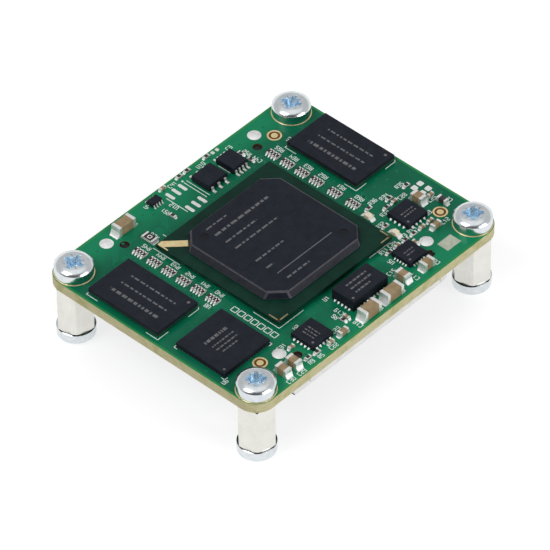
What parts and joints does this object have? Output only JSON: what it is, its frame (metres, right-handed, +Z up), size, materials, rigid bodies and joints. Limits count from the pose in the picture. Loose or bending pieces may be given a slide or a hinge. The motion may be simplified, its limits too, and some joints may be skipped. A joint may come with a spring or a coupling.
{
  "type": "system on module",
  "caption": "Plug-in processor board with a large ball-grid chip, memory, supply parts, edge connectors below and screwed hexagonal spacers as feet.",
  "frame": {"origin": "middle of the footprint, on the surface that the lower screw heads stand on", "axes": "+X along the board's long side, +Y along its short side towards the rear connector, +Z up from the feet to the chips"},
  "size_m": [0.05, 0.04, 0.0137],
  "materials": {
    "solder_mask": "glossy green solder mask over copper and glass laminate",
    "gold_plating": "thin gold over nickel",
    "solder": "bright reflowed tin solder",
    "chip_substrate": "dark green masked laminate",
    "chip_mould": "fine matt moulding compound",
    "tinned_metal": "tin plated",
    "capacitor_ceramic": "fired tan ceramic",
    "resistor_glaze": "black overglaze",
    "ferrite": "dark fired ferrite",
    "diode_lens": "cream translucent resin",
    "connector_plastic": "black glass-filled polymer",
    "connector_shield": "tin plated copper alloy",
    "contact_gold": "gold plated contacts",
    "screw_zinc": "bluish bright zinc plate",
    "spacer_nickel": "satin nickel plated brass"
  },
  "bodies": {
    "root": {"circuit_board": "solder_mask", "mounting_pads": "gold_plating", "fiducial_marks": "gold_plating", "post_solder_joints": "solder", "bare_pads": "solder", "logic_chip_substrate": "chip_substrate", "logic_chip_cap": "chip_mould", "logic_chip_balls": "solder", "logic_chip_gold_marks": "gold_plating", "memory_left_mould": "chip_mould", "memory_left_base": "chip_substrate", "memory_left_balls": "solder", "memory_right_mould": "chip_mould", "memory_right_base": "chip_substrate", "memory_right_balls": "solder", "network_chip_body": "chip_mould", "network_chip_pads": "tinned_metal", "power_module_body": "chip_mould", "power_module_pads": "tinned_metal", "supply_chip_body": "chip_mould", "supply_chip_pads": "tinned_metal", "clock_chip_body": "chip_mould", "clock_chip_pads": "tinned_metal", "monitor_chip_body": "chip_mould", "monitor_chip_pads": "tinned_metal", "six_lead_chip_body": "chip_mould", "six_lead_chip_leads": "tinned_metal", "eight_lead_chip_body": "chip_mould", "eight_lead_chip_leads": "tinned_metal", "tiny_chip_body": "chip_mould", "tiny_chip_leads": "tinned_metal", "left_array_bodies": "resistor_glaze", "left_array_terminals": "tinned_metal", "right_array_bodies": "resistor_glaze", "right_array_terminals": "tinned_metal", "large_capacitor_bodies": "capacitor_ceramic", "large_capacitor_terminals": "tinned_metal", "medium_capacitor_bodies": "capacitor_ceramic", "medium_capacitor_terminals": "tinned_metal", "small_capacitor_bodies": "capacitor_ceramic", "small_capacitor_terminals": "tinned_metal", "tiny_capacitor_bodies": "capacitor_ceramic", "tiny_capacitor_terminals": "tinned_metal", "resistor_bodies": "resistor_glaze", "resistor_terminals": "tinned_metal", "jumper_resistor_body": "resistor_glaze", "jumper_resistor_terminals": "tinned_metal", "ferrite_bead_body": "ferrite", "ferrite_bead_terminals": "tinned_metal", "diode_lenses": "diode_lens", "diode_terminals": "tinned_metal", "connector_front_housing": "connector_plastic", "connector_front_shield": "connector_shield", "connector_front_contacts": "contact_gold", "connector_rear_housing": "connector_plastic", "connector_rear_shield": "connector_shield", "connector_rear_contacts": "contact_gold", "upper_screws": "screw_zinc", "spacers": "spacer_nickel", "lower_screws": "screw_zinc"}
  },
  "joints": []
}
